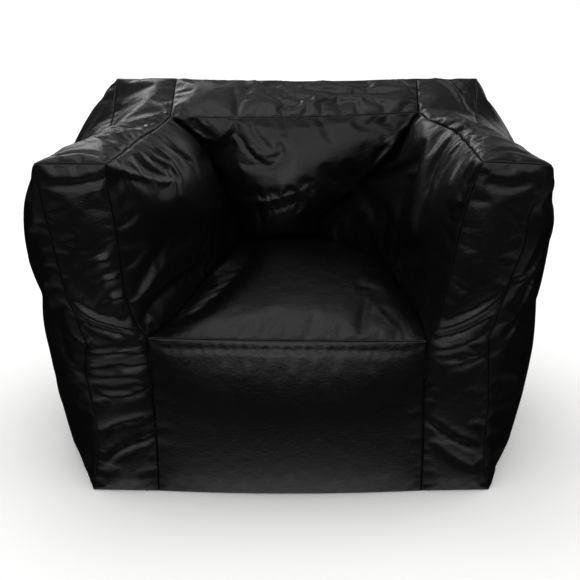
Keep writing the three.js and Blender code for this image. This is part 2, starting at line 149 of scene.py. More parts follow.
# Where the slack cover draws its seams off the straight: outwards from the middle, behind the front
# edge of the base, and up, in mm.
WAYPOINTS = {
    1: {
        "front_inner_lower": [(237, -4, 90), (234, -6, 190)],
        "front_inner_upper": [(254, -2, 350), (267, -4, 414), (283, -5, 509), (301, -2, 584)],
        "front_outer_lower": [(349, 2, 60), (350, 2, 190)],
        "front_outer_upper": [(376, 1, 422), (393, 0, 480), (398, 0, 532), (420, 1, 580)],
        "arm_top_inner": [(306, 150, 609), (299, 250, 602), (266, 340, 597)],
        "arm_top_outer": [(402, 110, 600), (384, 250, 580), (368, 400, 568), (366, 462, 580)],
        "rear_side_upper": [(396, 566, 330)],
        "seat_side": [(227, 90, 312), (203, 200, 322), (160, 310, 334)],
        "inner_back_side": [(62, 412, 378), (141, 417, 448), (212, 424, 520)],
        "base_side": [(392, 280, 0)],
    },
    -1: {
        "front_inner_lower": [(237, -4, 90), (240, -6, 180)],
        "front_inner_upper": [(264, -2, 338), (277, -4, 378), (283, -5, 436), (288, -5, 502), (298, -2, 575)],
        "front_outer_lower": [(343, 2, 97), (351, 2, 193), (358, 3, 243)],
        "front_outer_upper": [(366, 2, 338), (380, 1, 380), (396, 0, 470), (411, 0, 560)],
        "arm_top_inner": [(286, 70, 611), (271, 180, 602), (250, 280, 596)],
        "arm_top_outer": [(396, 100, 600), (372, 250, 576), (352, 400, 562), (349, 462, 576)],
        "rear_side_upper": [(384, 566, 330)],
        "seat_side": [(208, 60, 314), (160, 210, 328)],
        "inner_back_side": [(114, 408, 395), (146, 408, 455), (182, 402, 535)],
        "base_side": [(390, 280, 0)],
    },
}
# Each seam's first and last corner, and its steps.
ENDS = {
    "front_inner_lower": ("base_front_inner", "pinch_inner", LOWER),
    "front_inner_upper": ("pinch_inner", "arm_front_inner", UPPER),
    "front_outer_lower": ("base_front_outer", "pinch_outer", LOWER),
    "front_outer_upper": ("pinch_outer", "arm_front_outer", UPPER),
    "arm_base": ("base_front_inner", "base_front_outer", ARM),
    "arm_top_front": ("arm_front_inner", "arm_front_outer", ARM),
    "arm_top_inner": ("arm_front_inner", "kink_inner", DEPTH),
    "rim_side": ("kink_inner", "back_inner", RIM),
    "arm_top_outer": ("arm_front_outer", "back_outer", DEPTH + RIM),
    "back_arm": ("back_inner", "back_outer", ARM),
    "base_side": ("base_front_outer", "base_rear_outer", DEPTH + RIM),
    "base_rear_arm": ("base_rear_inner", "base_rear_outer", ARM),
    "zip_arm": ("zip_inner", "zip_outer", ARM),
    "rear_side_lower": ("base_rear_outer", "zip_outer", REAR_LOWER),
    "rear_side_upper": ("zip_outer", "back_outer", REAR_UPPER),
    "seat_side": ("pinch_inner", "seat_rear", DEPTH),
    "inner_back_side": ("seat_rear", "kink_inner", UPPER),
}


def side_seams(side):
    """The seams of one side, each as points from its first corner to its last."""
    seams = {}
    for name, (first, last, steps) in ENDS.items():
        via = [(side * x, FACE + y, z) for x, y, z in np.array(WAYPOINTS[side].get(name, [])) / 1000]
        seams[name] = curve([corner(first, side), *via, corner(last, side)], steps)
    seams["front_inner"] = join(seams["front_inner_lower"], seams["front_inner_upper"])
    seams["front_outer"] = join(seams["front_outer_lower"], seams["front_outer_upper"])
    return seams


def cross_seam(name, bow_y, bow_z):
    """A seam from the -X corner to the same corner on +X, bowed at its middle."""
    left, right = corner(name, -1), corner(name, 1)
    share = np.linspace(0, 1, CENTRE + 1)[:, None]
    bow = 4 * share * (1 - share) * np.array([[0, bow_y, bow_z]])
    return left * (1 - share) + right * share + bow


SEAMS = {side: side_seams(side) for side in (1, -1)}
CROSS = {
    "front_base": cross_seam("base_front_inner", -0.010, 0),
    "seat_front": cross_seam("pinch_inner", -0.008, 0.002),
    "seat_rear": cross_seam("seat_rear", -0.006, 0.008),
    "rim_front": cross_seam("kink_inner", -0.004, -0.004),
    "back_top": cross_seam("back_inner", 0.004, -0.006),
    "zip_middle": cross_seam("zip_inner", 0, 0),
    "base_rear_middle": cross_seam("base_rear_inner", 0, 0),
}


def full_width(middle, arm):
    """A seam across the whole chair, from -X to +X."""
    return join(SEAMS[-1][arm][::-1], CROSS[middle], SEAMS[1][arm])


# ---- Panels as grids of points between four seams ----


def patch(bottom, top, left, right, *bulges):
    """Rows of points. Bottom and top run left to right, left and right run upwards, seen from outside.
    Each bulge is how far it pushes, where it is fullest (a share of the width and of the height), and its
    fullness, which is flatter in the middle and steeper at the seams the smaller it is."""
    u = np.linspace(0, 1, len(bottom))[None, :, None]
    v = np.linspace(0, 1, len(left))[:, None, None]
    corners = ((1 - u) * (1 - v) * bottom[0] + u * (1 - v) * bottom[-1]
               + (1 - u) * v * top[0] + u * v * top[-1])
    grid = (1 - u) * left[:, None] + u * right[:, None] + (1 - v) * bottom[None] + v * top[None] - corners
    for push, peak, fullness in bulges:
        across = u ** (math.log(0.5) / math.log(peak[0]))
        up = v ** (math.log(0.5) / math.log(peak[1]))
        grid = grid + (16 * across * (1 - across) * up * (1 - up)) ** fullness * np.array(push)
    return grid


def mirrored(side, bottom, top, left, right, *bulges):
    """A patch of the +X side, or the same of the -X side, where left and right change places."""
    if side > 0:
        return patch(bottom, top, left, right, *bulges)
    turned = [((-push[0], *push[1:]), (1 - peak[0], peak[1]), fullness) for push, peak, fullness in bulges]
    return patch(bottom[::-1], top[::-1], right, left, *turned)


INNER_ARM_BULGE = {1: (-0.032, 0, -0.006), -1: (-0.050, 0, 0.012)}


def cover_grids():
    grids = {}
    for side, word in ((1, "right"), (-1, "left")):
        s = SEAMS[side]
        grids[f"arm_front_{word}"] = mirrored(
            side, s["arm_base"], s["arm_top_front"], s["front_inner"], s["front_outer"],
            ((0, -0.016, 0), (0.5, 0.5), 0.7))
        grids[f"arm_top_{word}"] = mirrored(
            side, s["arm_top_front"], s["back_arm"],
            join(s["arm_top_inner"], s["rim_side"]), s["arm_top_outer"],
            ((0, 0, 0.022), (0.5, 0.38), 0.7))
        grids[f"side_panel_{word}"] = mirrored(
            side, s["base_side"], s["arm_top_outer"], s["front_outer"],
            join(s["rear_side_lower"], s["rear_side_upper"]),
            ((0.066, 0, 0), (0.5, 0.60), 0.45), ((0.032, 0, 0), (0.78, 0.86), 0.9),
            ((0.007, 0, 0), (0.30, 0.08), 1.0), ((0.005, 0, 0), (0.12, 0.88), 1.0))
        grids[f"inner_arm_{word}"] = mirrored(
            side, s["seat_side"][::-1], s["arm_top_inner"][::-1],
            s["inner_back_side"], s["front_inner_upper"],
            (INNER_ARM_BULGE[side], (0.5, 0.62), 0.7))
    left, right = SEAMS[-1], SEAMS[1]
    grids["base_panel"] = patch(
        full_width("base_rear_middle", "base_rear_arm"), full_width("front_base", "arm_base"),
        left["base_side"][::-1], right["base_side"][::-1])
    grids["front_panel"] = patch(
        CROSS["front_base"], CROSS["seat_front"], left["front_inner_lower"], right["front_inner_lower"],
        ((0, -0.024, 0), (0.5, 0.5), 0.7))
    grids["seat_panel"] = patch(
        CROSS["seat_front"], CROSS["seat_rear"], left["seat_side"], right["seat_side"],
        ((0, 0, 0.018), (0.5, 0.5), 0.7))
    grids["inner_back_panel"] = patch(
        CROSS["seat_rear"], CROSS["rim_front"], left["inner_back_side"], right["inner_back_side"],
        ((0, -0.066, 0), (0.5, 0.30), 0.8))
    grids["back_top_strip"] = patch(
        CROSS["rim_front"], CROSS["back_top"], left["rim_side"], right["rim_side"],
        ((0, -0.002, 0.006), (0.5, 0.5), 0.7))
    grids["rear_upper_panel"] = patch(
        full_width("zip_middle", "zip_arm")[::-1], full_width("back_top", "back_arm")[::-1],
        right["rear_side_upper"], left["rear_side_upper"], ((0, 0.022, 0), (0.5, 0.5), 0.6))
    grids["rear_lower_panel"] = patch(
        full_width("base_rear_middle", "base_rear_arm")[::-1], full_width("zip_middle", "zip_arm")[::-1],
        right["rear_side_lower"], left["rear_side_lower"])
    return grids


class Skin:
    """The whole cover as one welded net of quads, with each panel's place in it."""

    def __init__(self, grids):
        points = np.vstack([g.reshape(-1, 3) for g in grids.values()])
        keys = np.round(points, 6)
        _, first, index = np.unique(keys, axis=0, return_index=True, return_inverse=True)
        index = index.reshape(-1)
        self.points = points[first]
        self.rows = {}
        start = 0
        for name, g in grids.items():
            count = g.shape[0] * g.shape[1]
            self.rows[name] = index[start:start + count].reshape(g.shape[:2])
            start += count
        self.quads = np.vstack([
            np.stack([r[:-1, :-1], r[:-1, 1:], r[1:, 1:], r[1:, :-1]], axis=2).reshape(-1, 4)
            for r in self.rows.values()
        ])

    def seam_indices(self):
        edges = [np.concatenate([r[0], r[-1], r[:, 0], r[:, -1]]) for r in self.rows.values()]
        return np.unique(np.concatenate(edges))

    def normals(self, points):
        a, b, c, d = (points[self.quads[:, k]] for k in range(4))
        face = np.cross(c - a, d - b)
        total = np.zeros_like(points)
        for k in range(4):
            np.add.at(total, self.quads[:, k], face)
        return total / np.maximum(np.linalg.norm(total, axis=1, keepdims=True), 1e-12)


skin = Skin(cover_grids())


# ---- Folds ----


def on_panel(name, points, stops, count=40):
    """Points along a line of (across, up) shares of a panel, from its lower left corner seen from outside."""
    return on_panel_points(name, points, curve([(u, v, 0) for u, v in stops], count))


def on_panel_points(name, points, line):
    """The points at the given (across, up) shares of a panel."""
    rows = skin.rows[name]
    height, width = rows.shape
    across = np.clip(line[:, 0], 0, 1) * (width - 1)
    up = np.clip(line[:, 1], 0, 1) * (height - 1)
    i = np.minimum(across.astype(int), width - 2)
    j = np.minimum(up.astype(int), height - 2)
    s, t = (across - i)[:, None], (up - j)[:, None]
    low = points[rows[j, i]] * (1 - s) + points[rows[j, i + 1]] * s
    high = points[rows[j + 1, i]] * (1 - s) + points[rows[j + 1, i + 1]] * s
    return low * (1 - t) + high * t


# Ridges (+) and valleys (-) that the slack cover falls into, by panel: width and height in mm, and then
# the stops of its line, in thousandths of the panel's width and height.
FOLDS = {
    "inner_back_panel": [  # a pucker in the rim's seam, and what hangs from it
        (8, 1.8, (20, 990), (50, 860), (110, 790), (190, 880), (250, 990)),
        (6, -1.6, (250, 1000), (240, 860), (270, 720), (360, 640), (470, 720)),
        (7, 1.8, (290, 980), (300, 840), (360, 740), (450, 780)),
        (7, 2.2, (270, 960), (400, 920), (560, 930), (750, 960)),
        (9, 2.2, (140, 330), (380, 370), (610, 480), (680, 560)),
        (10, -1.4, (200, 250), (450, 300), (660, 400)),
        (7, -2.4, (280, 300), (310, 50)),
        (10, 4.0, (970, 900), (930, 600), (900, 350), (950, 80)),
    ],
    "back_top_strip": [
        (8, -4, (260, 50), (270, 400)),
        (9, 4, (310, 850), (520, 300), (660, 400), (970, 300)),
        (9, -3, (360, 920), (600, 620), (950, 550)),
        (8, 3, (450, 700), (780, 800)),
    ],
    "arm_top_right": [  # drawn in at the kink, then along the arm
        (9, 5, (300, 990), (600, 920), (850, 800)),
        (8, -4, (550, 990), (800, 900)),
        (9, -7, (0, 440), (180, 420), (420, 460)),
        (15, 5, (20, 620), (300, 500), (600, 420), (950, 340)),
        (14, 5, (100, 300), (450, 200), (900, 120)),
        (7, -4, (80, 40), (450, 80), (920, 50)),
    ],
    "arm_top_left": [
        (16, 5, (50, 100), (400, 200), (750, 340), (970, 500)),
        (14, -4, (100, 220), (500, 360), (950, 660)),
        (13, 4, (300, 420), (620, 580), (960, 800)),
        (7, -4, (150, 50), (550, 70), (920, 50)),
    ],
    "inner_arm_left": [
        (7, 6, (300, 990), (280, 900), (330, 800)),
        (6, -5, (400, 990), (360, 900), (400, 800)),
        (7, 6, (500, 990), (460, 900), (470, 820)),
        (9, -6, (660, 990), (600, 860), (620, 740)),
        (12, 6, (40, 960), (140, 880), (260, 780), (420, 700)),
        (14, -12, (20, 100), (180, 160), (400, 120), (620, 50)),
        (16, 8, (20, 220), (200, 340), (450, 300)),
    ],
    "arm_front_left": [  # creases under the arm's edge, pulls at the pinch, sags below it
        (6, 1.4, (80, 975), (500, 970), (950, 980)),
        (6, -1.4, (60, 945), (500, 945), (940, 955)),
        (9, 4, (740, 925), (920, 930)),
        (9, 4.8, (640, 733), (860, 733)),
        (8, 4.8, (700, 675), (930, 680)),
        (8, 4, (780, 620), (960, 620)),
        (9, 6.4, (60, 620), (300, 575), (700, 535), (990, 510)),
        (8, -4.8, (20, 560), (350, 535), (750, 505)),
        (8, 4, (20, 445), (500, 452), (960, 440)),
        (7, -3.2, (50, 405), (450, 412), (970, 405)),
        (8, 3.2, (40, 375), (500, 378), (930, 372)),
        (9, 3.2, (80, 325), (550, 320), (920, 335)),
        (10, 4.8, (100, 80), (380, 145), (960, 185)),
        (10, -3.2, (50, 200), (450, 235), (900, 250)),
    ],
    "side_panel_left": [
        (9, 7, (840, 470), (920, 415), (990, 385)),
        (10, -6, (780, 580), (900, 500), (990, 470)),
        (12, 6, (700, 500), (860, 410), (980, 330)),
    ],
    "arm_front_right": [
        (6, 1.0, (30, 985), (300, 965), (600, 975), (960, 985)),
        (7, -1.0, (100, 945), (500, 935), (900, 955)),
        (9, 5.4, (10, 512), (400, 550), (700, 585), (990, 630)),
        (9, -4.2, (50, 490), (450, 515), (950, 565)),
        (9, 3.6, (100, 455), (550, 475), (980, 515)),
        (9, 3.6, (40, 245), (400, 190), (880, 140)),
        (10, -2.4, (100, 180), (500, 120), (920, 70)),
        (10, 2.4, (300, 410), (650, 420), (970, 440)),
    ],
    "side_panel_right": [
        (10, 8, (10, 645), (60, 660), (160, 700)),
        (9, -7, (10, 575), (70, 600), (180, 655)),
        (10, 8, (10, 520), (80, 550), (200, 600)),
        (12, 6, (10, 440), (80, 460), (200, 500)),
    ],
    "inner_arm_right": [
        (13, 5, (600, 990), (620, 860), (680, 720)),
        (12, -5, (460, 990), (500, 840), (600, 660)),
        (12, -8, (20, 550), (200, 660), (340, 820)),
        (12, -8, (980, 100), (800, 200), (600, 160)),
    ],
    "front_panel": [  # the lip under the seat's seam
        (7, -3, (0, 1000), (60, 950), (300, 950), (650, 950), (940, 950), (1000, 1000)),
    ],
    "seat_panel": [
        (18, -8, (10, 80), (120, 360), (200, 750), (220, 970)),
        (12, 6, (30, 500), (90, 700), (120, 880)),
        (12, 2.5, (900, 60), (820, 220), (800, 420)),
        (10, -2, (760, 50), (780, 200), (830, 340)),
    ],
}


def folded(points):
    """The points with every fold raised or sunk along the normals, and how much each one lies in a fold."""
    normals = skin.normals(points)
    height = np.zeros(len(points))
    inside = np.zeros(len(points))
    for name, (width, rise, *stops) in [(name, fold) for name, folds in FOLDS.items() for fold in folds]:
        width, rise = width / 1000, rise / 1000
        line = on_panel(name, points, np.array(stops) / 1000)
        low, high = line.min(0) - 4 * width, line.max(0) + 4 * width
        near = np.nonzero(((points > low) & (points < high)).all(1))[0]
        gap = np.linalg.norm(points[near, None] - line[None], axis=2)
        closest = gap.argmin(1)
        distance = gap.min(1) / width
        end = np.minimum(closest, len(line) - 1 - closest) / (len(line) - 1)
        taper = np.clip(end * 5 + 0.25, 0, 1)  # lower towards both ends of its line
        profile = 1.3 * np.exp(-distance ** 1.4) - 0.3 * np.exp(-(distance / 2.4) ** 2)
        facing = (normals[near] * normals[near[gap.min(1).argmin()]]).sum(1) > 0.1
        height[near] += rise * profile * taper * facing
        inside[near] = np.maximum(inside[near], np.exp(-distance ** 2) * taper * facing)
    return points + normals * height[:, None], inside


def by_panel(values, common):
    """A value for each point of the skin from its panel's, or from the common one."""
    made = np.full(len(skin.points), float(common))
    for name, value in values.items():
        made[skin.rows[name].reshape(-1)] = value
    return made


# How strongly each panel is gathered beside its seams.
GATHERED = {"base_panel": 0, "front_panel": 0, "seat_panel": 0, "inner_back_panel": 0.08,
            "back_top_strip": 0.15, "arm_top_right": 0.35, "arm_top_left": 0.35, "inner_arm_left": 0.25,
            "inner_arm_right": 0.15, "arm_front_left": 0.12, "arm_front_right": 0.12}
COMMON_GATHERS = 0.4
GATHERS_RISE = 0.004  # how far from a seam they reach their full height


class SeamField:
    """How far each point is from its nearest seam, and where on that seam."""

    def __init__(self, points):
        seams = skin.seam_indices()
        tree = KDTree(len(seams))
        for number, index in enumerate(seams):
            tree.insert(points[index], number)
        tree.balance()
        found = [tree.find(p) for p in points]
        self.foot = np.array([f[0] for f in found])
        self.distance = np.array([f[2] for f in found])


def gathers(points, field, height, reach, pitch, seed):
    """Small gathers square to the seams, where the sewn edge is shorter than the cloth."""
    wave = np.array([noise.noise(Vector(f) / pitch + Vector((seed, 0, 0))) for f in field.foot])
    lift = height * wave * np.exp(-field.distance / reach) * np.clip(field.distance / GATHERS_RISE, 0, 1)
    lift *= by_panel(GATHERED, COMMON_GATHERS)
    return points + skin.normals(points) * lift[:, None]


# ---- Cloth simulation ----


def new_mesh(name, points, faces):
    mesh = bpy.data.meshes.new(name)
    mesh.from_pydata([tuple(p) for p in points], [], [tuple(int(i) for i in f) for f in faces])
    mesh.update()
    return mesh


def new_object(name, mesh):
    made = bpy.data.objects.new(name, mesh)
    bpy.context.scene.collection.objects.link(made)
    return made


def weigh(obj, name, weights):
    """A vertex group from one weight for each point."""
    group = obj.vertex_groups.new(name=name)
    steps = np.round(weights, 2)
    for weight in np.unique(steps[steps > 0]):
        group.add(np.nonzero(steps == weight)[0].tolist(), float(weight), "REPLACE")


MOST_SLACK = 0.06
MOST_MOVE = 0.025  # of a point, by the simulation
CLOTH = {  # how stiffly the cover behaves in it
    "quality": 5, "mass": 0.3, "air_damping": 1,
    "tension_stiffness": 15, "compression_stiffness": 15, "shear_stiffness": 5, "bending_stiffness": 2.0,
    "tension_damping": 5, "compression_damping": 5, "shear_damping": 5, "bending_damping": 0.5,
    "vertex_group_mass": "hold", "pin_stiffness": 1,
    "shrink_max": 0, "shrink_min": -MOST_SLACK, "vertex_group_shrink": "tight", "use_pressure": True,
}
SEAM_HOLD = 0.85  # how firmly the sewn seams and the folds stay in place
FOLD_HOLD = 0.30


def simulate(points, quads, hold, slack, pressure, frames):
    """The net after some frames of cloth simulation. hold is how firmly each point is held, 0 to 1, and
    slack the share by which the cloth is longer than the net."""
    obj = new_object("cloth_work", new_mesh("cloth_work", points, quads))
    weigh(obj, "hold", hold)
    weigh(obj, "tight", 1 - slack / MOST_SLACK)
    cloth = obj.modifiers.new("cloth", "CLOTH")
    for name, value in {**CLOTH, "uniform_pressure_force": pressure}.items():
        setattr(cloth.settings, name, value)
    cloth.settings.effector_weights.gravity = 0
    cloth.collision_settings.use_collision = False
    cloth.point_cache.frame_end = frames + 1
    scene = bpy.context.scene
    for number in range(1, frames + 1):
        scene.frame_set(number)
    depsgraph = bpy.context.evaluated_depsgraph_get()
    result = np.zeros(len(points) * 3)
    obj.evaluated_get(depsgraph).data.vertices.foreach_get("co", result)
    bpy.data.objects.remove(obj)
    scene.frame_set(1)
    return result.reshape(-1, 3)


def limited(points, start, most):
    """No point further than most from where it started."""
    move = points - start
    length = np.linalg.norm(move, axis=1, keepdims=True)
    return start + move * np.minimum(1, most / np.maximum(length, 1e-9))


# The share by which each panel's cloth is longer than the space between its seams.
SLACK = {"front_panel": 0.002, "seat_panel": 0.003, "base_panel": 0, "back_top_strip": 0.016,
         "inner_back_panel": 0.012, "rear_lower_panel": 0.010, "rear_upper_panel": 0.025,
         "side_panel_left": 0.023, "side_panel_right": 0.023,
         "arm_front_left": 0.009, "arm_front_right": 0.006}
COMMON_SLACK = 0.014

start, in_fold = folded(skin.points)
seams = SeamField(start)
start = gathers(start, seams, height=0.004, reach=0.020, pitch=0.022, seed=3.0)
seam_points = skin.seam_indices()
hold = FOLD_HOLD * in_fold
hold[seam_points] = SEAM_HOLD
hold[skin.rows["base_panel"].reshape(-1)] = 1
slack = by_panel(SLACK, COMMON_SLACK)
cover = simulate(start, skin.quads, hold, slack, pressure=1.6, frames=20)
cover = limited(cover, start, MOST_MOVE)
cover[:, 2] = np.maximum(cover[:, 2], 0)
cover = gathers(cover, seams, height=0.0016, reach=0.012, pitch=0.013, seed=11.0)

# ---- Materials ----


class Nodes:
    """Adds nodes to a tree. Each value is set on the socket of its name, or linked to it."""

    def __init__(self, tree):
        self.tree = tree

    def fill(self, node, values):
        for name, value in values.items():
            if isinstance(value, bpy.types.NodeSocket):
                self.tree.links.new(value, node.inputs[name])
            else:
                node.inputs[name].default_value = value
        return node

    def add(self, kind, values=None, **settings):
        node = self.tree.nodes.new(f"ShaderNode{kind}")
        for name, value in settings.items():
            setattr(node, name, value)
        return self.fill(node, values or {})

    def math(self, operation, a, b):
        return self.add("Math", {0: a, 1: b}, operation=operation).outputs["Value"]


class Material(Nodes):
    """A material, whose textures lie in the object's own space."""

    def __init__(self, name, values):
        self.made = bpy.data.materials.new(name)
        self.made.use_nodes = True
        super().__init__(self.made.node_tree)
        self.shader = self.fill(self.tree.nodes["Principled BSDF"], values)

    def texture(self, kind, values, output="Fac", **settings):
        place = self.add("TexCoord").outputs["Object"]
        return self.add(f"Tex{kind}", {"Vector": place, **values}, **settings).outputs[output]

    def noise(self, scale, detail=2):
        return self.texture("Noise", {"Scale": scale, "Detail": detail})

    def cells(self, scale):
        return self.texture("Voronoi", {"Scale": scale}, "Distance")

    def tint(self, share, low, high):
        """The colour goes from low to high with the share."""
        mix = self.add("Mix", {"Factor": share, "A": (*low, 1), "B": (*high, 1)}, data_type="RGBA")
        self.fill(self.shader, {"Base Color": mix.outputs["Result"]})

    def rough(self, share, low, high):
        """The roughness goes from low to high with the share."""
        scaled = self.add("MapRange", {"Value": share, "To Min": low, "To Max": high})
        self.fill(self.shader, {"Roughness": scaled.outputs["Result"]})

    def bump(self, height, strength, distance, invert=False):
        """Raises the surface, over whatever raises it already."""
        values = {"Height": height, "Strength": strength, "Distance": distance}
        for link in self.shader.inputs["Normal"].links:
            values["Normal"] = link.from_socket
        raised = self.add("Bump", values, invert=invert)
        self.fill(self.shader, {"Normal": raised.outputs["Normal"]})


def leathercloth():
    """Glossy black coated leathercloth with a fine pebble grain."""
    coat = Material("leathercloth", {"Specular IOR Level": 0.22, "Coat Weight": 0.10, "Coat Roughness": 0.15})
    broad = coat.noise(9, 6)
    coat.tint(broad, (0.0010, 0.0010, 0.0011), (0.0030, 0.0029, 0.0027))
    coat.rough(broad, 0.20, 0.34)
    for height, strength, distance in (
        (coat.noise(38, 3), 0.42, 0.003),  # creases
        (coat.noise(190, 4), 0.6, 0.0009),  # fine unevenness
        (coat.cells(560), 0.6, 0.0004),  # grain
    ):
        coat.bump(height, strength, distance)
    return coat.made


WAVE_PERIOD = 0.314  # from thread to thread, at a scale of 1


def woven(name, color, other, pitch, rough, depth):
    """Plain-woven cloth: threads over and under each other every pitch metres."""
    cloth = Material(name, {"Roughness": rough, "Specular IOR Level": 0.25, "Sheen Weight": 0.15})
    wave = {"Scale": WAVE_PERIOD / pitch, "Distortion": 0.6}
    threads = [cloth.texture("Wave", wave, bands_direction=axis) for axis in ("X", "Y")]
    weave = cloth.math("MAXIMUM", *threads)
    cloth.tint(cloth.math("MULTIPLY", weave, cloth.noise(14)), other, color)
    cloth.bump(weave, 0.6, depth)
    return cloth.made


def bead_material():
    """Expanded beads, each a small round grain, its colour darkened towards its rim by painted shade in the
    gaps between grains.
    """
    beads = Material("beads", {"Roughness": 0.7, "Subsurface Weight": 0.1})
    grains_and_gap_shade = beads.cells(260)
    # Painted shade: the colour darkens from each grain's middle to the gaps between the grains.
    beads.tint(grains_and_gap_shade, (0.90, 0.89, 0.86), (0.62, 0.61, 0.58))
    beads.bump(grains_and_gap_shade, 0.9, 0.0015, invert=True)
    return beads.made


def nylon():
    """Drawn nylon wire, slightly worn."""
    wire = Material("nylon_coil", {"Specular IOR Level": 0.5})
    wear = wire.noise(420)
    wire.tint(wear, (0.010, 0.010, 0.011), (0.030, 0.030, 0.032))
    wire.rough(wear, 0.25, 0.5)
    return wire.made


def zinc():
    """Dark plated zinc, rubbed brighter on its edges."""
    metal = Material("dark_zinc", {"Metallic": 0.95})
    point = metal.add("NewGeometry").outputs["Pointiness"]
    edge = metal.add("MapRange", {"Value": point, "From Min": 0.50, "From Max": 0.62}).outputs["Result"]
    metal.tint(edge, (0.085, 0.087, 0.093), (0.42, 0.41, 0.40))
    scratches = metal.noise(900, 5)
    metal.rough(scratches, 0.22, 0.45)
    metal.bump(scratches, 0.15, 0.0001)
    return metal.made


leather = leathercloth()
liner_cloth = woven("liner_cloth", (0.50, 0.49, 0.46), (0.36, 0.35, 0.33), 0.0011, 0.85, 0.0003)
tape_cloth = woven("tape_cloth", (0.020, 0.020, 0.021), (0.008, 0.008, 0.009), 0.0008, 0.75, 0.0003)
label_cloth = woven("label_cloth", (0.80, 0.79, 0.76), (0.66, 0.65, 0.62), 0.0005, 0.45, 0.0001)
bead_grains = bead_material()
coil_nylon = nylon()
dark_zinc = zinc()

# ---- Cover panels ----

BODY = "chair"
THICKNESS = 0.0014
# Beside a seam each panel turns in to its sewn edge: how far from the seam, and how deep.
TURN = [(0.0002, 0.0040), (0.0004, 0.0014), (0.0013, 0.0004), (0.0032, 0)]
ZIP_TURN = [(0.0002, 0.0002), (0.0004, 0.0001), (0.0013, 0), (0.0032, 0)]
SLOT_HALF_LENGTH = 0.218
SLOT_HALF_WIDTH = 0.006
SLOT_TAPER = 0.008  # over which the opening narrows at each end
SLOT_ROWS = 4  # of the panel's points that move aside for it
SHORTEST_ROW = 0.005  # to turn in over
MOST_OF_ROW = 0.7
OPEN_SEAM_LENGTH = 0.42
OPEN_SEAM_GAP = 0.0011
cover_normals = skin.normals(cover)


def finer(grid):
    """The grid with one more point between every two, on a smooth surface."""
    for axis in (0, 1):
        g = np.moveaxis(grid, axis, 0)
        ends = np.concatenate([2 * g[:1] - g[1:2], g, 2 * g[-1:] - g[-2:-1]])
        between = (9 * (ends[1:-2] + ends[2:-1]) - (ends[:-3] + ends[3:])) / 16
        made = np.empty((2 * len(g) - 1, *g.shape[1:]))
        made[::2], made[1::2] = g, between
        grid = np.moveaxis(made, 0, axis)
    return grid


def seam_gap(points):
    """How far a seam stands open at each point: the -X arm's top is strained and ruffled at its inner one."""
    x, y, z = points.T
    along = (y - FACE) / OPEN_SEAM_LENGTH
    here = (x < -0.23) & (x > -0.32) & (z > 0.57) & (along > 0.02) & (along < 1)
    ruffle = np.array([noise.noise(Vector(p) * 55) for p in points])
    gap = OPEN_SEAM_GAP * np.sin(math.pi * np.clip(along, 0, 1)) ** 0.5 * (1 + 0.7 * ruffle)
    return np.where(here, gap, 0)[:, None]


def turned_rows(points, normals, depth, turn, opens):
    """The grid with more rows beside its first row, which turn in there."""
    step = points[1] - points[0]
    length = np.maximum(np.linalg.norm(step, axis=1, keepdims=True), SHORTEST_ROW)
    gap = seam_gap(points[0]) if opens else 0
    share = [np.minimum((along + gap) / length, MOST_OF_ROW) for along, _ in turn]
    first = [points[0] + step * f for f in share]
    first_normals = [normals[0] * (1 - f) + normals[1] * f for f in share]
    first_depth = [np.full(points.shape[1], deep) for _, deep in turn]
    return (
        np.stack([*first, *points[1:]]),
        np.stack([*first_normals, *normals[1:]]),
        np.stack([np.maximum(new, depth[0]) for new in first_depth] + list(depth[1:])),
    )


def grid_normals(grid):
    across = np.gradient(grid, axis=1)
    up = np.gradient(grid, axis=0)
    normal = np.cross(across, up)
    return normal / np.maximum(np.linalg.norm(normal, axis=2, keepdims=True), 1e-12)


def zip_edge(points, name):
    """The grid of a rear panel, which stops short of the zip's opening, so that the slider runs clear."""
    order = 1 if name == "rear_upper_panel" else -1
    rows = points[::order].copy()
    away = rows[SLOT_ROWS] - rows[0]
    away /= np.linalg.norm(away, axis=1, keepdims=True)
    to_end = (SLOT_HALF_LENGTH - np.abs(rows[0][:, :1])) / SLOT_TAPER
    short = SLOT_HALF_WIDTH * np.sqrt(np.clip(to_end, 0, 1))
    for number in range(SLOT_ROWS):
        rows[number] += away * short * (1 - number / SLOT_ROWS)
    return rows[::order]


def closed_sheet(outer, thickness):
    """Points and faces of a sheet of cloth with that outer face, closed round its edge."""
    height, width = outer.shape[:2]
    inner = outer - grid_normals(outer) * thickness
    index = np.arange(height * width).reshape(height, width)
    a, b, c, d = index[:-1, :-1], index[:-1, 1:], index[1:, 1:], index[1:, :-1]
    front = np.stack([a, b, c, d], axis=2).reshape(-1, 4)
    back = np.stack([a, d, c, b], axis=2).reshape(-1, 4) + height * width
    loop = np.concatenate([index[0, :-1], index[:-1, -1], index[-1, :0:-1], index[:0:-1, 0]])
    after = np.roll(loop, -1)
    rim = np.stack([after, loop, loop + height * width, after + height * width], axis=1)
    return np.vstack([outer.reshape(-1, 3), inner.reshape(-1, 3)]), np.vstack([front, back, rim])


def unwrap(obj, width, height):
    """UVs in metres along the panel, the same on both of its faces."""
    layer = obj.data.uv_layers.new(name="cut")
    loops = np.empty(len(obj.data.loops), int)
    obj.data.loops.foreach_get("vertex_index", loops)
    place = loops % (width * height)
    uv = np.stack([place % width / (width - 1), place // width / (height - 1)], axis=1)
    layer.data.foreach_set("uv", uv.astype(np.float32).reshape(-1))


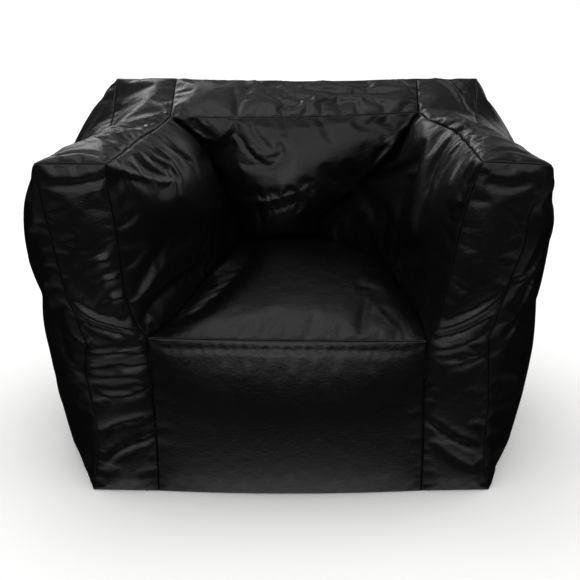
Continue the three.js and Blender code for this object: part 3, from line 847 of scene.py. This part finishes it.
def cover_panel(name, rows):
    points, normals = finer(cover[rows]), finer(cover_normals[rows])
    on_zip = name in ("rear_upper_panel", "rear_lower_panel")
    if on_zip:
        points = zip_edge(points, name)
    depth = np.zeros(points.shape[:2])
    for number in range(4):  # each of the four edges in turn becomes the first row
        is_zip = on_zip and number == (0 if name == "rear_upper_panel" else 2)
        opens = (name, number) in (("arm_top_left", 1), ("inner_arm_left", 2))
        points, normals, depth = turned_rows(points, normals, depth, ZIP_TURN if is_zip else TURN, opens)
        points, normals = np.rot90(points), np.rot90(normals)
        depth = np.rot90(depth)
    outer = points - normals * depth[:, :, None]
    height, width = outer.shape[:2]
    points, faces = closed_sheet(outer, THICKNESS)
    points[:, 2] = np.maximum(points[:, 2], 0)
    panel = new_object(f"cover_{name}", new_mesh(f"cover_{name}", points, faces))
    unwrap(panel, width, height)
    return panel


def finish_piece(obj, material, body=BODY, replaced=()):
    obj.data.shade_smooth()
    obj.data.materials.append(material)
    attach(obj, body)
    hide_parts(*replaced)
    return obj


for name, rows in skin.rows.items():
    panel = finish_piece(cover_panel(name, rows), leather, replaced=[name])

# ---- Liner and filling ----

LINER_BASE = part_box("liner_bag")[0].z
FILL_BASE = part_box("bead_filling")[0].z
LINER_WALL = 0.0006
LINER_INSET = 0.009  # under the cover, away from the base
FILL_INSET = 0.014
liner_zip_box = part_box("liner_zip_tape_upper")
LINER_ZIP_Y = (liner_zip_box[1].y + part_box("liner_zip_tape_lower")[0].y) / 2


def coarser(every, smooth):
    """The cover's skin with one point for every few, and its small folds smoothed away."""
    net = Skin({name: cover[rows][::every, ::every] for name, rows in skin.rows.items()})
    ends = np.concatenate([net.quads[:, [k, (k + 1) % 4]] for k in range(4)])
    count = np.zeros(len(net.points))
    np.add.at(count, ends[:, 0], 1)
    np.add.at(count, ends[:, 1], 1)
    kept = net.points[:, 2] < 1e-6
    kept[net.seam_indices()] = True
    for _ in range(smooth):
        total = np.zeros_like(net.points)
        np.add.at(total, ends[:, 0], net.points[ends[:, 1]])
        np.add.at(total, ends[:, 1], net.points[ends[:, 0]])
        mean = total / count[:, None]
        net.points = np.where(kept[:, None], net.points, 0.5 * net.points + 0.5 * mean)
    return net


def mitred(net, points):
    """At each point, the step that moves the faces around it out by one: midway between their directions,
    however large each of them is."""
    a, b, c, d = (points[net.quads[:, k]] for k in range(4))
    face = np.cross(c - a, d - b)
    face /= np.maximum(np.linalg.norm(face, axis=1, keepdims=True), 1e-12)
    normals = np.zeros_like(points)
    for k in range(4):
        np.add.at(normals, net.quads[:, k], face)
    normals /= np.maximum(np.linalg.norm(normals, axis=1, keepdims=True), 1e-12)
    total, count = np.zeros(len(points)), np.zeros(len(points))
    for k in range(4):
        index = net.quads[:, k]
        np.add.at(total, index, (face * normals[index]).sum(1))
        np.add.at(count, index, 1)
    return normals / np.clip(total / count, 0.6, 1)[:, None]


def inset_skin(net, inset, base):
    """The net's points inside the cover, flat on its bottom at the height of the base."""
    points = net.points - mitred(net, net.points) * inset
    points[:, 2] = np.maximum(points[:, 2], base)
    points[net.rows["base_panel"][1:-1, 1:-1].reshape(-1), 2] = base
    return points


inside_net = coarser(every=2, smooth=2)


def liner_mesh():
    """The liner's wall as a closed solid, with a slot for its zip in the base."""
    net = inside_net
    outer = inset_skin(net, LINER_INSET, LINER_BASE)
    rows = net.rows["base_panel"]
    row_y = outer[rows[:, rows.shape[1] // 2], 1]
    near, far = sorted(np.argsort(np.abs(row_y - LINER_ZIP_Y))[:2], key=lambda row: row_y[row])
    outer[rows[near, 1:-1], 1] = LINER_ZIP_Y - SLOT_HALF_WIDTH
    outer[rows[far, 1:-1], 1] = LINER_ZIP_Y + SLOT_HALF_WIDTH
    slot_ends = (-SLOT_HALF_LENGTH, SLOT_HALF_LENGTH)
    columns = [int(np.argmin(np.abs(outer[rows[near], 0] - x))) for x in slot_ends]
    for column, x in zip(columns, slot_ends):
        outer[rows[[near, far], column], 0] = x
    inner = outer - mitred(net, outer) * LINER_WALL
    inner[rows[1:-1, 1:-1].reshape(-1), 2] = LINER_BASE + LINER_WALL
    first = min(near, far)
    opened = {
        frozenset(rows[first:first + 2, column:column + 2].reshape(-1).tolist())
        for column in range(min(columns), max(columns))
    }
    quads = [q for q in net.quads.tolist() if frozenset(q) not in opened]
    edges = {edge: True for q in quads for edge in zip(q, q[1:] + q[:1])}
    rim = [[b, a, a + len(outer), b + len(outer)] for a, b in edges if (b, a) not in edges]
    faces = quads + [[i + len(outer) for i in reversed(q)] for q in quads] + rim
    return new_mesh("liner", np.vstack([outer, inner]), faces)


liner = finish_piece(new_object("liner", liner_mesh()), liner_cloth, replaced=["liner_bag"])


def filling_mesh():
    points = inset_skin(inside_net, FILL_INSET, FILL_BASE)
    return new_mesh("filling", points, inside_net.quads)


filling = finish_piece(new_object("filling", filling_mesh()), bead_grains, replaced=["bead_filling"])

# ---- Zips ----


class Zip:
    """A zip's own frame: along it, across it, and out of the cloth from its tapes' outer face."""

    def __init__(self, prefix, along, across, out):
        self.prefix = prefix
        self.axes = np.array([along, across, out], float)
        upper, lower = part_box(f"{prefix}_tape_upper"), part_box(f"{prefix}_tape_lower")
        corners = self.own(np.array([tuple(c) for c in (*upper, *lower)]), 0)
        self.origin = np.array([0, *corners.mean(0)[1:2], corners[:, 2].max()]) @ self.axes

    def own(self, points, origin=None):
        return (points - (self.origin if origin is None else origin)) @ self.axes.T

    def world(self, points):
        return self.origin + points @ self.axes

    def box(self, part):
        corners = self.own(np.array([tuple(c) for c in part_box(f"{self.prefix}_{part}")]))
        return corners.min(0), corners.max(0)


TAPE_POINTS = (93, 13)  # along and across
TAPE_THICKNESS = 0.00045
TAPE_RIBS = 0.003  # from rib to rib


def tape_mesh(zipper, part):
    """A woven tape with a thicker edge under the coil and a selvedge on its far side."""
    low, high = zipper.box(part)
    towards = 1 if high[1] + low[1] > 0 else -1
    across = np.linspace(low[1], high[1], TAPE_POINTS[1])[::towards]
    along = np.linspace(low[0], high[0], TAPE_POINTS[0])
    from_coil = np.abs(across - across[0])
    top = high[2] - 0.00012 * (1 - np.exp(-((from_coil - 0.003) / 0.0012) ** 2))
    top = top - 0.0001 * np.cos(from_coil * 2 * math.pi / TAPE_RIBS) ** 2
    x, y = np.meshgrid(along, across)
    grid = np.stack([x, y, np.repeat(top[:, None], len(along), 1)], axis=2)
    if towards < 0:
        grid = grid[::-1]
    points, faces = closed_sheet(grid, TAPE_THICKNESS)
    return new_mesh(f"{zipper.prefix}_{part}", zipper.world(points), faces)


COIL_PITCH = 0.0014
WIRE = 0.0004  # its radius
WIRE_SIDES = 6


def coil(zipper, part):
    """Nylon wire wound into a flat coil."""
    low, high = zipper.box(part)
    middle = (low + high) / 2
    radius_across, radius_out = (high - low)[1:] / 2 - WIRE
    turns = int((high[0] - low[0] - 2 * WIRE) / COIL_PITCH)
    angle = np.linspace(0, 2 * math.pi * turns, 10 * turns + 1)
    centre = np.stack([
        low[0] + WIRE + angle / (2 * math.pi) * COIL_PITCH,
        middle[1] + radius_across * np.cos(angle),
        middle[2] + radius_out * np.sin(angle)], axis=1)
    outward = np.stack([0 * angle, np.cos(angle) / radius_across, np.sin(angle) / radius_out], axis=1)
    outward /= np.linalg.norm(outward, axis=1, keepdims=True)
    heading = np.gradient(centre, axis=0)
    heading /= np.linalg.norm(heading, axis=1, keepdims=True)
    beside = np.cross(heading, outward)
    around = np.arange(WIRE_SIDES) * 2 * math.pi / WIRE_SIDES
    rings = centre[:, None] + WIRE * (
        np.cos(around)[None, :, None] * outward[:, None] + np.sin(around)[None, :, None] * beside[:, None])
    index = np.arange(len(centre) * WIRE_SIDES).reshape(-1, WIRE_SIDES)
    after = np.roll(index, -1, axis=1)
    quads = np.stack([index[:-1], after[:-1], after[1:], index[1:]], axis=2).reshape(-1, 4).tolist()
    ends = [index[0].tolist()[::-1], index[-1].tolist()]
    name = f"{zipper.prefix}_{part}"
    mesh = new_mesh(name, zipper.world(rings.reshape(-1, 3)), quads + ends)
    work = bmesh.new()
    work.from_mesh(mesh)
    bmesh.ops.recalc_face_normals(work, faces=work.faces)
    work.to_mesh(mesh)
    work.free()
    return new_object(f"{name}_wound", mesh)


STOP_EDGES = 0.00035  # how far the metal pieces' edges are rounded
SLIDER_EDGES = 0.0003


def rounded(node, width):
    """A copy of a hard CAD piece with its edges rounded off."""
    source = bpy.data.objects[node]
    mesh = source.data.copy()
    mesh.materials.clear()
    made = new_object(f"{node}_rounded", mesh)
    made.matrix_world = source.matrix_world.copy()
    work = bmesh.new()
    work.from_mesh(mesh)
    bmesh.ops.transform(work, matrix=source.matrix_world, verts=work.verts)
    bmesh.ops.remove_doubles(work, verts=work.verts, dist=1e-6)
    bmesh.ops.dissolve_limit(work, angle_limit=math.radians(2), verts=work.verts, edges=work.edges)
    sharp = [e for e in work.edges if e.is_manifold and e.calc_face_angle(0) > math.radians(25)]
    bmesh.ops.bevel(
        work, geom=sharp, offset=width, segments=2, profile=0.6, affect="EDGES", clamp_overlap=True)
    work.to_mesh(mesh)
    work.free()
    made.matrix_world.identity()
    return made


def add_zip(zipper, slider_body, tab_body=None):
    prefix = zipper.prefix
    for part in ("tape_upper", "tape_lower"):
        mesh = tape_mesh(zipper, part)
        tape = new_object(f"{prefix}_{part}_woven", mesh)
        finish_piece(tape, tape_cloth, replaced=[f"{prefix}_{part}"])
        low, high = zipper.box(part)
    for part in ("coil_upper", "coil_lower"):
        finish_piece(coil(zipper, part), coil_nylon, replaced=[f"{prefix}_{part}"])
    for part in ("top_stop_upper", "top_stop_lower", "bottom_stop"):
        node = f"{prefix}_{part}"
        finish_piece(rounded(node, STOP_EDGES), dark_zinc, replaced=[node])
    moving = {f"{prefix}_slider": slider_body}
    if tab_body:
        moving[f"{prefix}_pull_tab"] = tab_body
    for node, body in moving.items():
        finish_piece(rounded(node, SLIDER_EDGES), dark_zinc, body, [node])


add_zip(Zip("cover_zip", (-1, 0, 0), (0, 0, 1), (0, 1, 0)), "cover_slider", "cover_tab")
add_zip(Zip("liner_zip", (1, 0, 0), (0, -1, 0), (0, 0, -1)), "liner_slider")

# ---- Care label ----


LABEL_POINTS = 25
LABEL_THICKNESS = 0.0003


def care_label():
    """A blank tag that hangs from the seam beside the zip."""
    low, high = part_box("care_label")
    lower_rows = skin.rows["rear_lower_panel"]
    seam = cover[lower_rows[-1]]
    order = np.argsort(seam[:, 0])
    share = np.interp(np.linspace(high.x, low.x, LABEL_POINTS), seam[order, 0], order / (len(seam) - 1))
    drop = np.linspace(low.z, high.z, LABEL_POINTS) / seam[:, 2].mean()
    stops = np.array([[(u, v) for u in share] for v in drop])
    grid = np.array([on_panel_points("rear_lower_panel", cover, row) for row in stops])
    away = np.array([on_panel_points("rear_lower_panel", cover_normals, row) for row in stops])
    hang = np.linspace(1, 0, LABEL_POINTS)[:, None]
    wave = np.cos(np.linspace(0, math.pi, LABEL_POINTS))[None, :]
    curl = 0.0012 + 0.0035 * hang ** 2 + 0.0012 * hang * wave
    return closed_sheet(grid + away * curl[:, :, None], LABEL_THICKNESS)


label = new_object("care_label_cloth", new_mesh("care_label_cloth", *care_label()))
finish_piece(label, label_cloth, replaced=["care_label"])

# ---- Floor, light and camera ----

scene = bpy.context.scene
scene.view_settings.view_transform = "Standard"
paint = Material("floor", {"Base Color": (0.92, 0.92, 0.92, 1), "Roughness": 0.8, "Specular IOR Level": 0.2})
bpy.ops.mesh.primitive_plane_add(size=24, location=(0, 3.0, -0.0005))
floor = bpy.context.active_object
floor.name = "floor"
floor.data.materials.append(paint.made)
floor.visible_glossy = False

PALE_ROOM = 1.15  # the room's brightness, apart from what gloss mirrors
# What the leathercloth mirrors, by height: (sine of the elevation, brightness), dim at the horizon.
MIRRORED_HEIGHTS = [(-1.0, 0.90), (-0.84, 0.70), (-0.70, 0.34), (-0.55, 0.10), (-0.42, 0.03), (-0.25, 0.015),
                    (0.0, 0.015), (0.15, 0.02), (0.35, 0.05), (0.60, 0.06), (1.0, 0.30)]


def studio_world():
    """A pale room. Gloss mirrors it as a dim hall with a lit wall behind the chair, brighter on the right."""
    world = bpy.data.worlds.new("studio")
    world.use_nodes = True
    nodes = Nodes(world.node_tree)

    def between(source, low, high, to_low, to_high):
        values = {"Value": source, "From Min": low, "From Max": high, "To Min": to_low, "To Max": to_high}
        return nodes.add("MapRange", values, interpolation_type="SMOOTHSTEP").outputs["Result"]

    def region(*shares):
        total = shares[0]
        for share in shares[1:]:
            total = nodes.math("MULTIPLY", total, share)
        return total

    direction = nodes.add("TexCoord").outputs["Generated"]
    parts = nodes.add("SeparateXYZ", {"Vector": direction})
    x, y, z = (parts.outputs[axis] for axis in "XYZ")
    heights = nodes.add("ValToRGB", {"Fac": between(z, -1, 1, 0, 1)})
    ramp = heights.color_ramp
    while len(ramp.elements) > 1:
        ramp.elements.remove(ramp.elements[-1])
    for number, (height, value) in enumerate(MIRRORED_HEIGHTS):
        share = (height + 1) / 2
        share = share * share * (3 - 2 * share)
        element = ramp.elements[0] if number == 0 else ramp.elements.new(share)
        element.position = share
        element.color = (value, value, value, 1)

    # The floor is lit in front of the chair only.
    in_front = between(y, -0.10, 0.35, 1, 0.05)
    above = between(z, -0.15, 0.0, 0, 1)
    behind = between(y, 0.2, 0.85, 0, 1)
    mirrored_light = region(heights.outputs["Color"], nodes.math("MAXIMUM", in_front, above))
    walls = {
        "back wall": (behind, between(z, 0.15, 0.35, 0, 0.24), between(z, 0.45, 0.70, 1, 0.15)),
        "lit corner": (behind, between(z, -0.02, 0.10, 0, 1.1), between(z, 0.24, 0.42, 1, 0),
                       between(x, 0.1, 0.5, 0, 1)),
        "front wall": (between(y, -0.65, -0.15, 1, 0), between(z, 0.0, 0.40, 0, 1.4),
                       between(z, 0.8, 1, 1, 0.4)),
    }
    for shares in walls.values():
        mirrored_light = nodes.math("ADD", mirrored_light, region(*shares))
    seen_in_gloss = nodes.add("LightPath").outputs["Is Glossy Ray"]
    room = nodes.add("Mix", {"A": PALE_ROOM, "B": mirrored_light, "Factor": seen_in_gloss}, data_type="FLOAT")
    nodes.fill(world.node_tree.nodes["Background"], {
        "Color": (1, 0.995, 0.985, 1), "Strength": room.outputs["Result"]})
    return world


scene.world = studio_world()


def area_light(name, place, target, size, radiance):
    data = bpy.data.lights.new(name, "AREA")
    data.shape = "RECTANGLE"
    data.size, data.size_y = size
    data.energy = radiance * math.pi * size[0] * size[1]
    light = bpy.data.objects.new(name, data)
    scene.collection.objects.link(light)
    light.location = place
    light.rotation_euler = (Vector(target) - Vector(place)).to_track_quat("-Z", "Y").to_euler()


area_light("overhead_softbox", (-0.2, 0.9, 3.0), (0, 0.1, 0.3), (1.8, 1.2), 1.5)
area_light("front_softbox", (-0.2, -3.6, 1.7), (0, 0, 0.3), (1.3, 0.7), 2.5)
area_light("left_glint", (-1.1, 2.7, 1.8), (-0.35, 0, 0.6), (1.3, 0.8), 3.2)

# The camera looks down at the chair from in front, from above its back.
CAMERA_HEIGHT = 1.235
CAMERA_AWAY = 2.030  # in front of the base's front edge
CAMERA_PITCH = math.radians(22.5)
SENSOR_WIDTH = 36  # millimetres, as is the lens
LENS = 80.44
camera_data = bpy.data.cameras.new("camera")
camera_data.sensor_width = SENSOR_WIDTH
camera_data.lens = LENS
camera = bpy.data.objects.new("camera", camera_data)
scene.collection.objects.link(camera)
camera.location = (0, FACE - CAMERA_AWAY, CAMERA_HEIGHT)
camera.rotation_euler = (math.pi / 2 - CAMERA_PITCH, 0, 0)
scene.camera = camera
